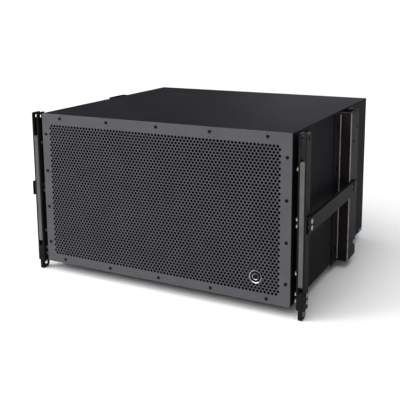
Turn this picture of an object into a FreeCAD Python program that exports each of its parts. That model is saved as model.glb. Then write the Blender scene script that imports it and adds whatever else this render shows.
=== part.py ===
import FreeCAD, Part
import math
import os
import re
import Sketcher

# Flyable line array bass speaker: plywood cabinet, 15 inch woofer, perforated grille and side rigging.
# Frame: X across, Y from front to back, Z up. The origin is halfway between the two top link-pin holes,
# the axis that the cabinet hangs from. Lengths are millimetres.

Vector = FreeCAD.Vector
document = FreeCAD.newDocument("line_array_speaker")

# Driving dimensions. "out" is measured from the middle plane, "back" from the cabinet's front face
# and "up" from the cabinet's underside.
DRIVING = {
    # cabinet
    "cabinet_width": 720, "cabinet_height": 420, "cabinet_depth": 660, "panel_thick": 15,
    "edge_round": 4, "corner_round": 3,
    # where the hanging axis lies in the cabinet
    "pin_back": 14, "pin_drop": 11, "stack_gap": 3,
    # front sheet and what is behind it
    "grille_thick": 2, "foam_thick": 8, "baffle_back": 60, "baffle_thick": 18, "baffle_width": 550,
    "port_board_thick": 12, "port_board_length": 220, "brace_back": 400, "brace_thick": 12,
    "brace_window_width": 420, "brace_window_height": 270, "felt_thick": 30, "felt_margin": 30,
    "grille_screw_inset": 11.5, "grille_screw_pitch": 150, "grille_screw_rise": 102,
    "grille_screw_radius": 2, "grille_screw_length": 22, "grille_screw_head": 4, "grille_head_thick": 1.4,
    "badge_out": 272, "badge_up": 63, "badge_radius": 16, "badge_thick": 2,
    # rear connector dish
    "dish_width": 150, "dish_height": 110, "dish_flange": 15, "dish_sheet": 2, "dish_deep": 45,
    "connector_pitch": 60, "connector_radius": 12, "connector_flange_width": 26,
    "connector_flange_height": 31, "connector_flange_thick": 2, "connector_collar": 4,
    "connector_barrel": 28, "connector_socket_radius": 8, "connector_socket_deep": 16,
    "dish_screw_radius": 2, "dish_screw_length": 12, "dish_screw_head": 3.8, "dish_head_thick": 1.6,
    # woofer, all radii about its own axis
    "woofer_up": 210, "frame_radius": 193, "frame_thick": 10, "frame_mouth": 173, "cutout_radius": 176,
    "ledge_radius": 166, "ledge_back": 62, "wall_radius": 175, "wall_back": 66, "rear_ring_radius": 94,
    "rear_ring_inner": 88, "rear_ring_back": 140, "seat_inner": 45, "seat_back": 147, "seat_thick": 5,
    "window_inner": 100, "window_outer": 158, "window_width": 62, "window_count": 6,
    "gasket_thick": 3, "gasket_width": 16, "roll_radius": 9, "roll_thick": 1.6, "roll_middle": 161,
    "cone_rim": 153.6, "cone_shoulder": 146, "cone_thick": 2.1, "former_radius": 38.6,
    "former_thick": 1.2, "former_front": 110.5, "former_end": 172, "winding_radius": 40,
    "winding_front": 150, "winding_end": 166, "cap_radius": 80, "cap_thick": 1.6, "cap_rim": 58,
    "cap_centre_back": 154.2, "spider_back": 137, "spider_thick": 2, "top_plate_radius": 95,
    "gap_radius": 41.5, "top_plate_thick": 10, "magnet_radius": 105, "magnet_bore": 52,
    "magnet_thick": 22, "pole_radius": 35.9, "vent_radius": 14, "yoke_thick": 10,
    "terminal_width": 36, "terminal_deep": 10, "terminal_low": 92, "terminal_high": 120,
    "woofer_screw_circle": 183, "woofer_screw_radius": 3, "woofer_screw_length": 24,
    "woofer_screw_head": 5, "woofer_head_thick": 4, "woofer_screw_count": 8,
    # front rigging
    "plate_thick": 4.5, "plate_deep": 29, "plate_round": 5, "web_drop": 10, "bracket_out": 375, "slot_width": 11,
    "bracket_web_back": 40, "bracket_flange_end": 115, "bar_low": 55, "bar_high": 356, "bar_round": 4,
    "link_thick": 10, "link_deep": 28, "link_top_up": 42, "link_top_round": 9, "link_toe_round": 3,
    "link_heel_round": 13, "link_pivot_up": 33, "link_stop_up": 16, "link_stop_arc": 3.3,
    "pin_radius": 5, "bush_radius": 7, "cross_bolt_radius": 4, "cross_bolt_head": 6.5,
    "cross_bolt_head_thick": 6, "bolt_cap_radius": 5.5, "bolt_cap_thick": 2.2, "bolt_clearance": 0.3,
    "bolt_high_up": 336, "bolt_low_up": 84, "strut_bolt_high": 216, "strut_bolt_low": 200,
    # side strut
    "strut_low": 187, "strut_high": 225, "strut_thick": 9, "strut_wall": 2, "strut_length": 408,
    "strut_screw_back": 387,
    # rear rigging
    "channel_front": 371, "channel_end": 447, "channel_sheet": 4, "channel_low": -6, "flange_front": 322,
    "flange_end": 490, "rear_bar_back": 400, "rear_bar_out": 370, "rear_bar_width": 32,
    "rear_bar_thick": 10, "rear_bar_hole_up": 14, "rear_bar_high": 290, "rear_travel": 102,
    "guide_bolt_up": 75, "guide_bolt_radius": 5.9, "guide_slot_radius": 6.2, "guide_collar_radius": 10,
    "guide_low": 150, "guide_high": 180, "guide_clearance": 0.4, "rear_hole_up": 335,
    "splay_hole_back": 428, "splay_hole_up": 372, "clamp_bolt_back": 424, "clamp_bolt_up": 38,
    "clamp_head_thick": 2.5, "rigging_screw_radius": 3, "rigging_screw_head": 5.5,
    "rigging_head_thick": 2.4, "rigging_screw_length": 14,
    # heel pads under the rear corners
    "pad_width": 30, "pad_length": 32, "pad_high": 9, "pad_back": 622, "pad_proud": 1,
    # loudspeaker lead
    "lead_radius": 3.5,
}

sheet = document.addObject("Spreadsheet::Sheet", "Dims")
for row, (alias, value) in enumerate(DRIVING.items(), 1):
    sheet.set(f"A{row}", alias)
    sheet.set(f"B{row}", str(value))
    sheet.setAlias(f"B{row}", alias)
document.recompute()

# Places that several pieces share, as expressions of the driving dimensions.
FRONT = "(-pin_back)"
UNDER = "(pin_drop - cabinet_height)"
HALF = "(cabinet_width / 2)"
INNER_HALF = "(cabinet_width / 2 - panel_thick)"
REAR = "(cabinet_depth - pin_back)"
TOP = "pin_drop"
SLOT_IN = "(bracket_out + plate_thick)"
SLOT_OUT = "(bracket_out + plate_thick + slot_width)"
RIG_OUT = "(bracket_out + 2 * plate_thick + slot_width)"
LINK_IN = "(bracket_out + plate_thick + (slot_width - link_thick) / 2)"
CHANNEL_HIGH = "(channel_low + cabinet_height + stack_gap)"
LINK_HOLE_UP = "(-pin_drop - stack_gap)"
LINK_FOOT_UP = "(-pin_drop - stack_gap - pin_back)"


def back(length):
    """A distance behind the front face, as a Y coordinate."""
    return f"({length} - pin_back)"


def up(length):
    """A height above the underside, as a Z coordinate."""
    return f"({length} + pin_drop - cabinet_height)"


def expression(text):
    return re.sub(r"[a-z_]+[a-z]", lambda word: f"Dims.{word.group()}" if word.group() in DRIVING else word.group(),
                  str(text))


def number(text):
    return float(sheet.evalExpression(expression(text)))


def bind(item, **sizes):
    for name, text in sizes.items():
        item.setExpression(name.replace("__", "."), expression(text))


def place(item, x, y, z):
    bind(item, Placement__Base__x=x, Placement__Base__y=y, Placement__Base__z=z)


def box(name, x, y, z):
    """A block between pairs of coordinates along each axis."""
    item = document.addObject("Part::Box", name)
    bind(item, Length=f"({x[1]}) - ({x[0]})", Width=f"({y[1]}) - ({y[0]})", Height=f"({z[1]}) - ({z[0]})")
    place(item, x[0], y[0], z[0])
    return item


TURNED = {
    "X": FreeCAD.Rotation(Vector(0, 1, 0), 90),
    "Y": FreeCAD.Rotation(Vector(1, 0, 0), -90),
    "Z": FreeCAD.Rotation(),
}


def rod(name, axis, radius, span, across):
    """A cylinder along an axis between the two ends of span. across holds the other two coordinates."""
    item = document.addObject("Part::Cylinder", name)
    item.Placement = FreeCAD.Placement(Vector(), TURNED[axis])
    bind(item, Radius=radius, Height=f"({span[1]}) - ({span[0]})")
    at = {"X": (span[0], *across), "Y": (across[0], span[0], across[1]), "Z": (*across, span[0])}[axis]
    place(item, *at)
    return item


def group(name, items):
    item = document.addObject("Part::Compound", name)
    item.Links = items
    return item


def cut(name, base, *tools):
    item = document.addObject("Part::Cut", name)
    item.Base = base
    item.Tool = tools[0] if len(tools) == 1 else group(f"{name}_tools", list(tools))
    return item


def fuse(name, *items):
    item = document.addObject("Part::MultiFuse", name)
    item.Shapes = list(items)
    return item


def common(name, first, second):
    item = document.addObject("Part::Common", name)
    item.Base, item.Tool = first, second
    return item


def mirrored(source, name):
    """The left-hand copy of a right-hand piece."""
    item = document.addObject("Part::Mirroring", name)
    item.Source = source
    item.Normal = Vector(1, 0, 0)
    return item


def sketch_on(body, role, name):
    sketch = body.newObject("Sketcher::SketchObject", name)
    plane = next(item for item in body.Origin.OriginFeatures if item.Role == role)
    sketch.AttachmentSupport = [(plane, "")]
    sketch.MapMode = "FlatFace"
    return sketch


def outline(sketch, corners):
    """A closed polygon, each corner held by two dimensions from the sketch's origin."""
    points = [Vector(number(x), number(y), 0) for x, y in corners]
    last = len(points) - 1
    for index, point in enumerate(points):
        sketch.addGeometry(Part.LineSegment(point, points[0 if index == last else index + 1]))
    for index in range(len(points)):
        following = 0 if index == last else index + 1
        sketch.addConstraint(Sketcher.Constraint("Coincident", index, 2, following, 1))
    for index, (corner, point) in enumerate(zip(corners, points)):
        for kind, text, value in (("DistanceX", corner[0], point.x), ("DistanceY", corner[1], point.y)):
            held = sketch.addConstraint(Sketcher.Constraint(kind, -1, 1, index, 1, value))
            sketch.setExpression(f"Constraints[{held}]", expression(text))


def turned_body(name, corners):
    """A body of revolution about the woofer's axis. corners are (radius, distance behind the front)."""
    body = document.addObject("PartDesign::Body", name)
    sketch = sketch_on(body, "XY_Plane", f"{name}_section")
    outline(sketch, corners)
    turn = body.newObject("PartDesign::Revolution", f"{name}_turn")
    turn.Profile = sketch
    turn.ReferenceAxis = (sketch, ["V_Axis"])
    turn.Angle = 360
    place(body, "0", FRONT, up("woofer_up"))
    return body


def padded_body(name, role, corners, length):
    body = document.addObject("PartDesign::Body", name)
    sketch = sketch_on(body, role, f"{name}_outline")
    outline(sketch, corners)
    pad = body.newObject("PartDesign::Pad", f"{name}_pad")
    pad.Profile = sketch
    bind(pad, Length=length)
    return body


nodes = {}


def keep(name, item):
    item.Label = name
    nodes[name] = item
    return item


def keep_pair(name, right):
    keep(f"{name}_right", right)
    keep(f"{name}_left", mirrored(right, f"{name}_left"))


def screw(name, axis, radius, head_radius, head, shank, across):
    """A pan-head screw: its head and shank are spans along the axis that meet."""
    return fuse(name, rod(f"{name}_shank", axis, radius, shank, across),
                rod(f"{name}_head", axis, head_radius, head, across))


def grille_screw_places():
    """X and Z of the screws round the rim of the front sheet."""
    side = f"({HALF} - grille_screw_inset)"
    low, high = up("grille_screw_inset"), f"({TOP} - grille_screw_inset)"
    for step in range(-2, 3):
        yield f"{step} * grille_screw_pitch", low
        yield f"{step} * grille_screw_pitch", high
    for step in (-1.5, -0.5, 0.5, 1.5):
        rise = up(f"cabinet_height / 2 + {step} * grille_screw_rise")
        yield side, rise
        yield f"-{side}", rise


def build_grille():
    places = list(grille_screw_places())
    holes = group("grille_holes", [
        rod(f"grille_hole_{number_}", "Y", "grille_screw_radius + 0.1",
            (f"{FRONT} - 1", back("grille_thick + grille_screw_length")), spot)
        for number_, spot in enumerate(places)])
    blank = box("grille_blank", (f"-{HALF}", HALF), (FRONT, back("grille_thick")), (UNDER, TOP))
    rounded = document.addObject("Part::Fillet", "grille_rounded")
    rounded.Base = blank
    document.recompute()
    corner_round = number("corner_round")
    upright = [index for index, edge in enumerate(blank.Shape.Edges, 1)
               if abs(edge.tangentAt(edge.FirstParameter).y) > 0.9]
    rounded.Edges = [(index, corner_round, corner_round) for index in upright]
    keep("front_grille", cut("front_grille", rounded, holes))
    keep("grille_screws", group("grille_screws", [
        screw(f"grille_screw_{number_}", "Y", "grille_screw_radius", "grille_screw_head",
              (f"{FRONT} - grille_head_thick", FRONT), (FRONT, back("grille_screw_length")), spot)
        for number_, spot in enumerate(places)]))
    keep("grille_foam", box("grille_foam", (f"-{INNER_HALF}", INNER_HALF),
                            (back("grille_thick"), back("grille_thick + foam_thick")),
                            (up("panel_thick"), f"{TOP} - panel_thick")))
    keep("front_badge", rod("front_badge", "Y", "badge_radius", (f"{FRONT} - badge_thick", FRONT),
                            ("badge_out", up("badge_up"))))
    return holes


def build_cabinet(grille_holes):
    ends = (back("grille_thick"), REAR)
    wide = (f"-{HALF}", HALF)
    pads = group("pad_notches", [
        box(f"pad_notch_{name}", span, (back("pad_back"), back("pad_back + pad_length")), (UNDER, up("pad_high")))
        for name, span in (("right", (f"{HALF} - pad_width", HALF)), ("left", (f"-{HALF}", f"pad_width - {HALF}")))])
    keep("top_panel", cut("top_panel", box("top_blank", wide, ends, (f"{TOP} - panel_thick", TOP)), grille_holes))
    keep("bottom_panel", cut("bottom_panel", box("bottom_blank", wide, ends, (UNDER, up("panel_thick"))),
                             grille_holes, pads))
    rise = (up("panel_thick"), f"{TOP} - panel_thick")
    for side, span in (("right", (INNER_HALF, HALF)), ("left", (f"-{HALF}", f"-{INNER_HALF}"))):
        keep(f"side_panel_{side}", cut(f"side_panel_{side}", box(f"side_blank_{side}", span, ends, rise),
                                       grille_holes))
    inside = (f"-{INNER_HALF}", INNER_HALF)
    dish_hole = box("dish_hole", ("-(dish_width / 2 - dish_flange)", "dish_width / 2 - dish_flange"),
                    (f"{REAR} - 2 * panel_thick", f"{REAR} + 1"),
                    (up("cabinet_height / 2 - dish_height / 2 + dish_flange"),
                     up("cabinet_height / 2 + dish_height / 2 - dish_flange")))
    keep("rear_panel", cut("rear_panel", box("rear_blank", inside, (f"{REAR} - panel_thick", REAR), rise),
                           dish_hole, dish_screw_holes()))
    woofer_hole = rod("woofer_hole", "Y", "cutout_radius", (back("baffle_back - 1"),
                                                          back("baffle_back + baffle_thick + 1")),
                      ("0", up("woofer_up")))
    keep("front_baffle", cut("front_baffle",
                             box("baffle_blank", ("-baffle_width / 2", "baffle_width / 2"),
                                 (back("baffle_back"), back("baffle_back + baffle_thick")), rise),
                             woofer_hole, woofer_screw_holes()))
    board = box("port_board_right", ("baffle_width / 2 - port_board_thick", "baffle_width / 2"),
                (back("baffle_back + baffle_thick"), back("baffle_back + baffle_thick + port_board_length")), rise)
    keep_pair("port_board", board)
    window = box("brace_window", ("-brace_window_width / 2", "brace_window_width / 2"),
                 (back("brace_back - 1"), back("brace_back + brace_thick + 1")),
                 (up("cabinet_height / 2 - brace_window_height / 2"),
                  up("cabinet_height / 2 + brace_window_height / 2")))
    keep("window_brace", cut("window_brace",
                             box("brace_blank", inside, (back("brace_back"), back("brace_back + brace_thick")), rise),
                             window))
    felt_hole = box("felt_hole", ("-dish_width / 2", "dish_width / 2"),
                    (f"{REAR} - panel_thick - felt_thick - 1", f"{REAR} - panel_thick + 1"),
                    (up("cabinet_height / 2 - dish_height / 2"), up("cabinet_height / 2 + dish_height / 2")))
    keep("damping_felt", cut("damping_felt",
                             box("felt_blank", (f"felt_margin - {INNER_HALF}", f"{INNER_HALF} - felt_margin"),
                                 (f"{REAR} - panel_thick - felt_thick", f"{REAR} - panel_thick"),
                                 (up("panel_thick + felt_margin"), f"{TOP} - panel_thick - felt_margin")),
                             felt_hole))
    pad = box("heel_pad_right", (f"{HALF} - pad_width", f"{HALF} + pad_proud"),
              (back("pad_back"), back("pad_back + pad_length")), (f"{UNDER} - pad_proud", up("pad_high")))
    keep("heel_pads", group("heel_pads", [pad, mirrored(pad, "heel_pad_left")]))


def dish_screw_spots():
    for x in (-1, 1):
        for z in (-1, 1):
            yield (f"{x} * (dish_width / 2 - dish_flange / 2)",
                   up(f"cabinet_height / 2 + {z} * (dish_height / 2 - dish_flange / 2)"))


def dish_screw_holes():
    return group("dish_screw_holes", [
        rod(f"dish_screw_hole_{index}", "Y", "dish_screw_radius + 0.1",
            (f"{REAR} - dish_screw_length", f"{REAR} + dish_sheet + 1"), spot)
        for index, spot in enumerate(dish_screw_spots())])


def build_connectors():
    middle = "cabinet_height / 2"
    outside = box("dish_outside", ("-(dish_width / 2 - dish_flange)", "dish_width / 2 - dish_flange"),
                  (f"{REAR} - dish_deep", REAR),
                  (up(f"{middle} - dish_height / 2 + dish_flange"), up(f"{middle} + dish_height / 2 - dish_flange")))
    flange = box("dish_rim", ("-dish_width / 2", "dish_width / 2"), (REAR, f"{REAR} + dish_sheet"),
                 (up(f"{middle} - dish_height / 2"), up(f"{middle} + dish_height / 2")))
    inside = box("dish_inside", ("-(dish_width / 2 - dish_flange - dish_sheet)",
                                 "dish_width / 2 - dish_flange - dish_sheet"),
                 (f"{REAR} - dish_deep + dish_sheet", f"{REAR} + dish_sheet + 1"),
                 (up(f"{middle} - dish_height / 2 + dish_flange + dish_sheet"),
                  up(f"{middle} + dish_height / 2 - dish_flange - dish_sheet")))
    floor_face = f"({REAR} - dish_deep + dish_sheet)"
    spots = {"input": "-connector_pitch / 2", "link": "connector_pitch / 2"}
    barrels = [rod(f"{name}_seat", "Y", "connector_radius + 0.1", (f"{REAR} - dish_deep - 1", f"{floor_face} + 1"),
                   (x, up(middle))) for name, x in spots.items()]
    keep("connector_dish", cut("connector_dish", fuse("dish_pressing", outside, flange), inside,
                               dish_screw_holes(), *barrels))
    for name, x in spots.items():
        plate = box(f"{name}_flange", (f"{x} - connector_flange_width / 2", f"{x} + connector_flange_width / 2"),
                    (floor_face, f"{floor_face} + connector_flange_thick"),
                    (up(f"{middle} - connector_flange_height / 2"), up(f"{middle} + connector_flange_height / 2")))
        collar_end = f"{floor_face} + connector_flange_thick + connector_collar"
        barrel = rod(f"{name}_barrel", "Y", "connector_radius",
                     (f"{floor_face} - dish_sheet - connector_barrel", collar_end), (x, up(middle)))
        socket = rod(f"{name}_socket", "Y", "connector_socket_radius",
                     (f"{collar_end} - connector_socket_deep", f"{collar_end} + 1"), (x, up(middle)))
        keep(f"{name}_connector", cut(f"{name}_connector", fuse(f"{name}_moulding", plate, barrel), socket))
    keep("dish_screws", group("dish_screws", [
        screw(f"dish_screw_{index}", "Y", "dish_screw_radius", "dish_screw_head",
              (f"{REAR} + dish_sheet", f"{REAR} + dish_sheet + dish_head_thick"),
              (f"{REAR} - dish_screw_length + 1", f"{REAR} + dish_sheet"), spot)
        for index, spot in enumerate(dish_screw_spots())]))


def woofer_screw_spots():
    count = DRIVING["woofer_screw_count"]
    for index in range(count):
        turn = f"(360 deg * {index + 0.5} / {count})"
        yield f"woofer_screw_circle * cos({turn})", up(f"woofer_up + woofer_screw_circle * sin({turn})")


def woofer_screw_holes():
    return group("woofer_screw_holes", [
        rod(f"woofer_screw_hole_{index}", "Y", "woofer_screw_radius + 0.1",
            (back("baffle_back - frame_thick - gasket_thick - 1"), back("baffle_back + baffle_thick + 1")), spot)
        for index, spot in enumerate(woofer_screw_spots())])


def build_woofer():
    axis = ("0", up("woofer_up"))
    face = "(baffle_back - frame_thick)"
    basket = turned_body("basket_casting", [
        ("frame_mouth", face), ("frame_radius", face), ("frame_radius", "baffle_back"),
        ("wall_radius", "baffle_back"), ("wall_radius", "wall_back"), ("rear_ring_radius", "rear_ring_back"),
        ("rear_ring_radius", "seat_back + seat_thick"), ("seat_inner", "seat_back + seat_thick"),
        ("seat_inner", "seat_back"), ("rear_ring_inner", "seat_back"), ("rear_ring_inner", "rear_ring_back - 3"),
        ("ledge_radius", "wall_back"), ("ledge_radius", "ledge_back"), ("frame_mouth", "ledge_back")])
    windows = []
    for index in range(DRIVING["window_count"]):
        window = box(f"basket_window_{index}", ("-window_width / 2", "window_width / 2"),
                     (back("wall_back + 8"), back("rear_ring_back + 2")), ("window_inner", "window_outer"))
        window.Placement = FreeCAD.Placement()
        turn = index * 360 / DRIVING["window_count"]
        ring = document.addObject("Part::Compound", f"basket_window_turned_{index}")
        place(window, "-window_width / 2", back("wall_back + 8"), "window_inner")
        ring.Links = [window]
        ring.Placement = FreeCAD.Placement(Vector(), FreeCAD.Rotation(Vector(0, 1, 0), turn))
        bind(ring, Placement__Base__z=up("woofer_up"))
        windows.append(ring)
    keep("woofer_basket", cut("woofer_basket", basket, *windows, woofer_screw_holes()))
    gasket_face = f"{face} - gasket_thick"
    ring = cut("gasket_ring", rod("gasket_disc", "Y", "frame_radius - 1", (back(gasket_face), back(face)), axis),
               rod("gasket_mouth", "Y", "frame_radius - 1 - gasket_width",
                   (back(f"{gasket_face} - 1"), back(f"{face} + 1")), axis))
    keep("woofer_gasket", cut("woofer_gasket", ring, woofer_screw_holes()))
    keep("woofer_screws", group("woofer_screws", [
        screw(f"woofer_screw_{index}", "Y", "woofer_screw_radius", "woofer_screw_head",
              (back(f"{gasket_face} - woofer_head_thick"), back(gasket_face)),
              (back(gasket_face), back(f"{gasket_face} + woofer_screw_length")), spot)
        for index, spot in enumerate(woofer_screw_spots())]))
    build_suspension(axis)
    keep("woofer_cone", turned_body("woofer_cone", [
        ("former_radius", "former_front"), ("cone_shoulder", "ledge_back"), ("cone_rim", "ledge_back"),
        ("cone_rim", "ledge_back + cone_thick"), ("cone_shoulder + 0.4", "ledge_back + cone_thick"),
        ("former_radius", "former_front + cone_thick + 0.2")]))
    keep("voice_coil", turned_body("voice_coil", [
        ("former_radius - former_thick", "former_front"), ("former_radius", "former_front"),
        ("former_radius", "winding_front"), ("winding_radius", "winding_front"),
        ("winding_radius", "winding_end"), ("former_radius", "winding_end"), ("former_radius", "former_end"),
        ("former_radius - former_thick", "former_end")]))
    build_dust_cap(axis)
    plate_front = "(seat_back + seat_thick)"
    magnet_front = f"({plate_front} + top_plate_thick)"
    yoke_front = f"({magnet_front} + magnet_thick)"
    keep("woofer_top_plate", cut("woofer_top_plate",
                                 rod("top_plate_disc", "Y", "top_plate_radius",
                                     (back(plate_front), back(magnet_front)), axis),
                                 rod("magnet_gap", "Y", "gap_radius",
                                     (back(f"{plate_front} - 1"), back(f"{magnet_front} + 1")), axis)))
    keep("woofer_magnet", cut("woofer_magnet",
                              rod("magnet_disc", "Y", "magnet_radius", (back(magnet_front), back(yoke_front)), axis),
                              rod("magnet_bore", "Y", "magnet_bore",
                                  (back(f"{magnet_front} - 1"), back(f"{yoke_front} + 1")), axis)))
    yoke = fuse("yoke_blank",
                rod("yoke_disc", "Y", "top_plate_radius", (back(yoke_front), back(f"{yoke_front} + yoke_thick")), axis),
                rod("yoke_pole", "Y", "pole_radius", (back("winding_front"), back(f"{yoke_front} + 1")), axis))
    keep("woofer_yoke", cut("woofer_yoke", yoke,
                            rod("yoke_vent", "Y", "vent_radius",
                                (back("winding_front - 1"), back(f"{yoke_front} + yoke_thick + 1")), axis)))
    block = box("terminal_blank", ("-terminal_width / 2", "terminal_width / 2"),
                (back("seat_back + seat_thick - 1 - terminal_deep"), back("seat_back + seat_thick - 1")),
                (up("woofer_up + terminal_low"), up("woofer_up + terminal_high")))
    keep("woofer_terminals", cut("woofer_terminals", block,
                                 rod("terminal_seat", "Y", "rear_ring_radius + 0.05",
                                     (back("rear_ring_back - 10"), back("seat_back + 2 * seat_thick")), axis)))


def build_suspension(axis):
    """The half-roll surround and the spider, which flex as the cone moves."""
    roll = []
    for name, small in (("roll_outside", "roll_radius"), ("roll_inside", "roll_radius - roll_thick")):
        torus = document.addObject("Part::Torus", name)
        torus.Placement = FreeCAD.Placement(Vector(), TURNED["Y"])
        bind(torus, Radius1="roll_middle", Radius2=small)
        place(torus, "0", back("ledge_back"), up("woofer_up"))
        roll.append(torus)
    half = rod("roll_half", "Y", "frame_radius", (back("ledge_back - 2 * roll_radius"), back("ledge_back")), axis)
    keep("woofer_surround", common("woofer_surround", cut("roll_wall", *roll), half))
    keep("woofer_spider", cut("woofer_spider",
                              rod("spider_disc", "Y", "rear_ring_inner - 0.2",
                                  (back("spider_back"), back("spider_back + spider_thick")), axis),
                              rod("spider_bore", "Y", "former_radius + 0.4",
                                  (back("spider_back - 1"), back("spider_back + spider_thick + 1")), axis)))


def build_dust_cap(axis):
    balls = []
    for name, radius in (("cap_outside", "cap_radius"), ("cap_inside", "cap_radius - cap_thick")):
        ball = document.addObject("Part::Sphere", name)
        bind(ball, Radius=radius)
        place(ball, "0", back("cap_centre_back"), up("woofer_up"))
        balls.append(ball)
    window = rod("cap_window", "Y", "cap_rim", (back("cap_centre_back - cap_radius - 1"),
                                                back("cap_centre_back - cap_radius / 2")), axis)
    keep("woofer_dust_cap", common("woofer_dust_cap", cut("cap_shell", *balls), window))


def stadium(name, span, radius, middle_back, low, high):
    """A flat bar along Z with both ends rounded about low and high, span being its faces along X."""
    y = back(middle_back)
    return fuse(name,
                box(f"{name}_web", span, (f"{y} - {radius}", f"{y} + {radius}"), (low, high)),
                rod(f"{name}_low_end", "X", radius, span, (y, low)),
                rod(f"{name}_high_end", "X", radius, span, (y, high)))


def rounded_box(name, x, y, z, along, rounds):
    """A block with some of its edges along one axis rounded.

    rounds maps (front or rear or inner or outer, low or high) to the radius of that edge.
    """
    blank = box(f"{name}_blank", x, y, z)
    item = document.addObject("Part::Fillet", name)
    item.Base = blank
    document.recompute()
    bounds = blank.Shape.BoundBox
    chosen = []
    for index, edge in enumerate(blank.Shape.Edges, 1):
        if abs(getattr(edge.tangentAt(edge.FirstParameter), along.lower())) < 0.9:
            continue
        middle = edge.CenterOfMass
        if along == "X":
            side = "front" if middle.y < bounds.Center.y else "rear"
        else:
            side = "inner" if middle.x < bounds.Center.x else "outer"
        height = "low" if middle.z < bounds.Center.z else "high"
        if (side, height) in rounds:
            radius = number(rounds[side, height])
            chosen.append((index, radius, radius))
    item.Edges = chosen
    return item


def front_plate(name, span):
    """One upright plate of the front rigging, its top front corner rounded."""
    return rounded_box(name, span, (FRONT, back("plate_deep")), (up("-stack_gap"), TOP), "X",
                       {("front", "high"): "plate_round"})


CROSS_BOLTS = {"high": "bolt_high_up", "strut_high": "strut_bolt_high", "strut_low": "strut_bolt_low",
               "low": "bolt_low_up", "pivot": "link_pivot_up", "stop": "link_stop_up"}


def build_front_rigging():
    bolt_holes = group("cross_bolt_holes", [
        rod(f"cross_hole_{name}", "X", "cross_bolt_radius + 0.05", ("bracket_out - 1", f"{RIG_OUT} + strut_thick + 1"),
            ("0", up(height))) for name, height in CROSS_BOLTS.items()])
    pin_hole = rod("top_pin_hole", "X", "pin_radius", (f"{SLOT_OUT} - 1", f"{RIG_OUT} + 1"), ("0", "0"))
    bush_hole = rod("top_bush_hole", "X", "bush_radius", ("bracket_out - 1", f"{SLOT_IN} + 1"), ("0", "0"))
    bracket = front_plate("bracket_plate", ("bracket_out", SLOT_IN))
    rise = (up("bar_low"), up("bar_high"))
    web = padded_body("bracket_fold", "XY_Plane", [
        (HALF, back("bracket_web_back")), (SLOT_IN, back("bracket_web_back")),
        (SLOT_IN, back("bracket_web_back + plate_thick")),
        (f"{HALF} + plate_thick", back("bracket_web_back + plate_thick")),
        (f"{HALF} + plate_thick", back("bracket_flange_end")), (HALF, back("bracket_flange_end"))],
        "cabinet_height + stack_gap - web_drop")
    place(web, "0", "0", up("-stack_gap"))
    neck = box("bracket_neck", ("bracket_out", SLOT_IN), (back("plate_deep - 1"), back("bracket_web_back + 1")),
               (up("-stack_gap"), f"{TOP} - web_drop"))
    keep_pair("front_bracket", cut("front_bracket_right", fuse("bracket_folded", bracket, neck, web),
                                   bolt_holes, bush_hole, front_screw_holes()))
    keep_pair("front_outer_plate", cut("front_outer_plate_right", front_plate("outer_plate", (SLOT_OUT, RIG_OUT)),
                                       bolt_holes, pin_hole))
    bar = rounded_box("spacer_bar_blank", (SLOT_IN, SLOT_OUT), (FRONT, back("link_deep")), rise, "Y", {
        ("inner", "high"): "bar_round", ("outer", "high"): "bar_round"})
    keep_pair("front_spacer_bar", cut("front_spacer_bar_right", bar, bolt_holes))
    bolts = []
    for name, height in CROSS_BOLTS.items():
        end = f"{RIG_OUT} + strut_thick" if name.startswith("strut") else RIG_OUT
        bolt = screw(f"cross_bolt_{name}", "X", "cross_bolt_radius", "cross_bolt_head",
                     ("bracket_out - cross_bolt_head_thick", "bracket_out"), ("bracket_out", end), ("0", up(height)))
        if height not in ("bolt_high_up", "bolt_low_up"):
            bolt = fuse(f"capped_bolt_{name}", bolt,
                        rod(f"bolt_cap_{name}", "X", "bolt_cap_radius", (end, f"{end} + bolt_cap_thick"),
                            ("0", up(height))))
        bolts.append(bolt)
    right = group("cross_bolts_right", bolts)
    keep("front_cross_bolts", group("front_cross_bolts", [right, mirrored(right, "cross_bolts_left")]))
    bush = cut("top_bush_right", rod("top_bush_outside", "X", "bush_radius", ("bracket_out", SLOT_IN), ("0", "0")),
               rod("top_bush_bore", "X", "pin_radius", ("bracket_out - 1", f"{SLOT_IN} + 1"), ("0", "0")))
    keep("top_pin_bushes", group("top_pin_bushes", [bush, mirrored(bush, "top_bush_left")]))
    build_front_link()
    return bolt_holes


def build_front_link():
    """The flat link that hangs below the plates and turns a little about its upper bolt."""
    span = (LINK_IN, f"{LINK_IN} + link_thick")
    wide = (f"{span[0]} - 1", f"{span[1]} + 1")
    pivot, stop = up("link_pivot_up"), up("link_stop_up")
    slot = fuse("link_stop_slot",
                box("link_stop_middle", wide, ("-link_stop_arc", "link_stop_arc"),
                    (f"{stop} - cross_bolt_radius - bolt_clearance", f"{stop} + cross_bolt_radius + bolt_clearance")),
                *(rod(f"link_stop_{name}", "X", "cross_bolt_radius + bolt_clearance", wide,
                      (f"{way} * link_stop_arc", stop)) for name, way in (("front", -1), ("rear", 1))))
    blank = rounded_box("link_blank", span, (FRONT, back("link_deep")), (up(LINK_FOOT_UP), up("link_top_up")), "X", {
        ("front", "high"): "link_top_round", ("rear", "high"): "link_top_round",
        ("front", "low"): "link_toe_round", ("rear", "low"): "link_heel_round"})
    keep_pair("front_link", cut("front_link_right", blank, slot,
                                rod("link_pivot_hole", "X", "cross_bolt_radius + 0.05", wide, ("0", pivot)),
                                rod("link_bush_hole", "X", "bush_radius", wide, ("0", up(LINK_HOLE_UP)))))
    keep_pair("link_bush", cut("link_bush_right",
                               rod("link_bush_outside", "X", "bush_radius", span, ("0", up(LINK_HOLE_UP))),
                               rod("link_bush_bore", "X", "pin_radius", wide, ("0", up(LINK_HOLE_UP)))))


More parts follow.
